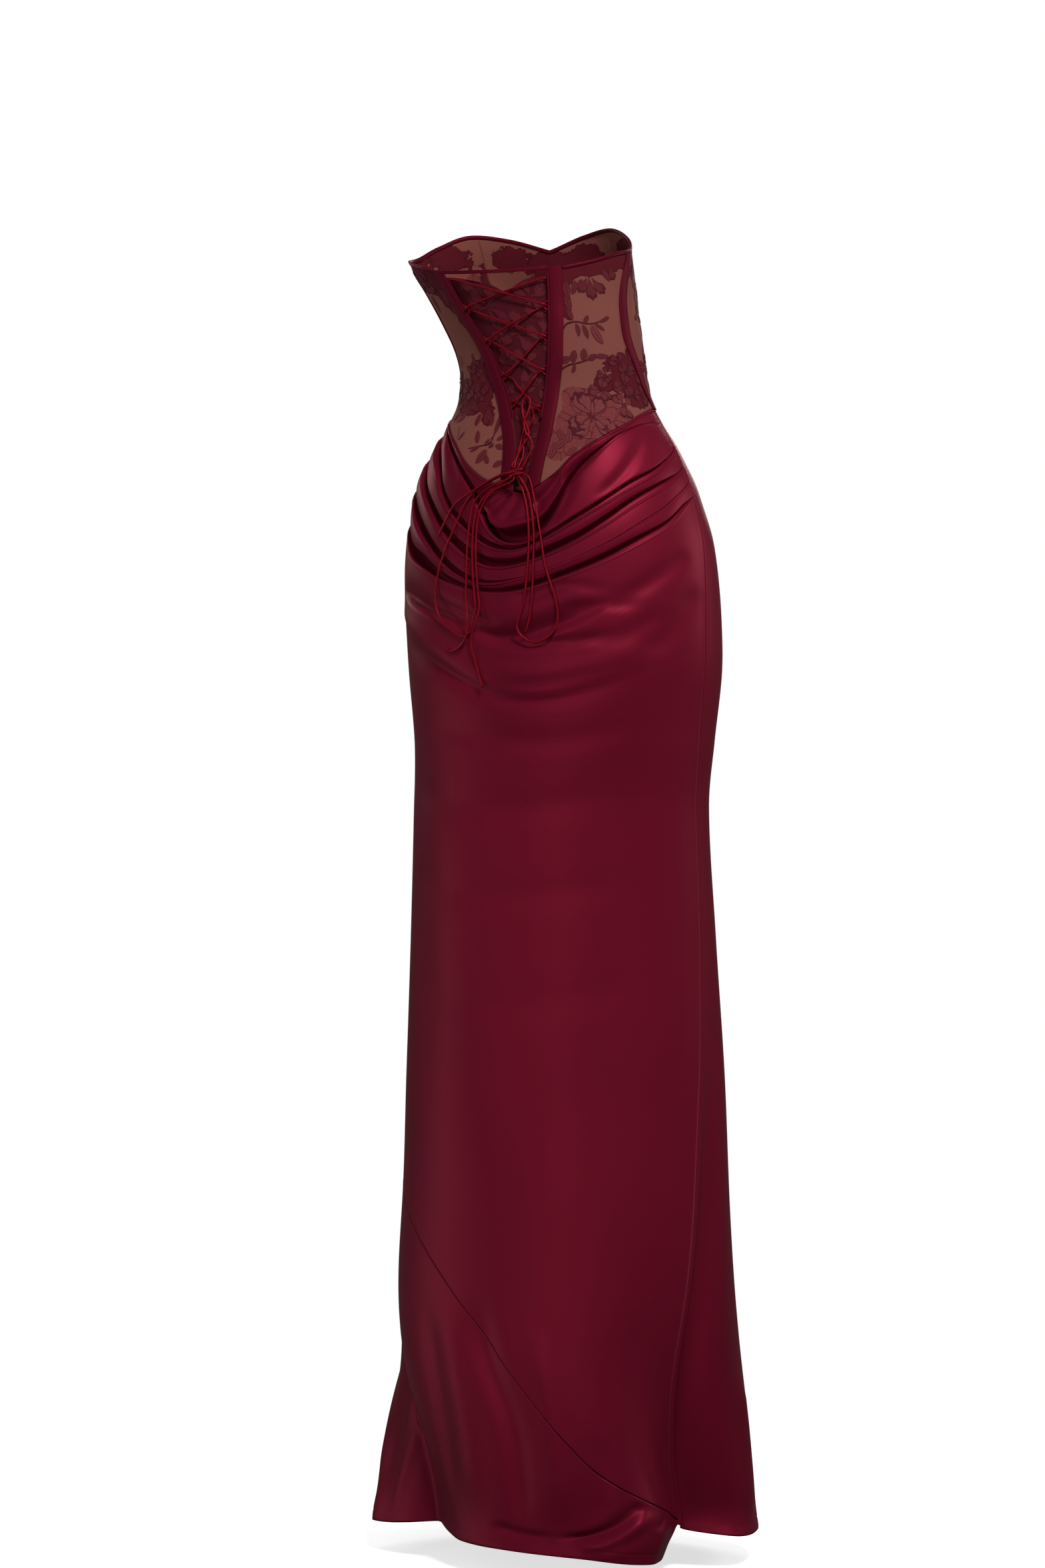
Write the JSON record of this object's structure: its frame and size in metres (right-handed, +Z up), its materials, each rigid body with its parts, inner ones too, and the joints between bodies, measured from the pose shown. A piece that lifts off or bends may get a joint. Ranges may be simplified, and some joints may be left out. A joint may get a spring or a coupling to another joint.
{
  "type": "strapless maxi dress",
  "caption": "Strapless corset gown standing as worn: lace bodice laced up the back with a bow, pointed basque seam, cowl-draped hips and a long satin skirt with a diagonal seam.",
  "frame": {"origin": "centre of the waist, where the gown is held by the body that wears it", "axes": "+Z up along the gown, -Y towards its front, +Y towards its laced back, +X towards the wearer's left"},
  "size_m": [0.4188, 0.3434, 1.4329],
  "materials": {
    "lace": "satin",
    "dense_lace": "satin",
    "satin": "satin",
    "trim": "satin",
    "cord": "satin"
  },
  "bodies": {
    "root": {"bodice_back_left": "lace", "bodice_back_right": "lace", "bodice_side_front_right": "lace", "bodice_side_front_left": "lace", "bodice_front": "lace", "modesty_panel": "dense_lace", "casing_back_left": "trim", "casing_back_right": "trim", "casing_side_left": "trim", "casing_side_right": "trim", "casing_front_left": "trim", "casing_front_right": "trim", "binding_back_left": "trim", "binding_back_right": "trim", "binding_front": "trim", "back_strap": "trim", "loop_tape_left": "trim", "loop_tape_right": "trim", "lacing_left": "cord", "lacing_right": "cord", "lacing_middle": "cord", "bow_knot": "cord", "bow_loop_left": "cord", "bow_loop_right": "cord", "tail_short": "cord", "tail_curled": "cord", "tail_long": "cord", "tail_inner": "cord", "hip_band": "satin", "skirt_back": "satin", "skirt_lower_back": "satin", "skirt_front": "satin"}
  },
  "joints": []
}
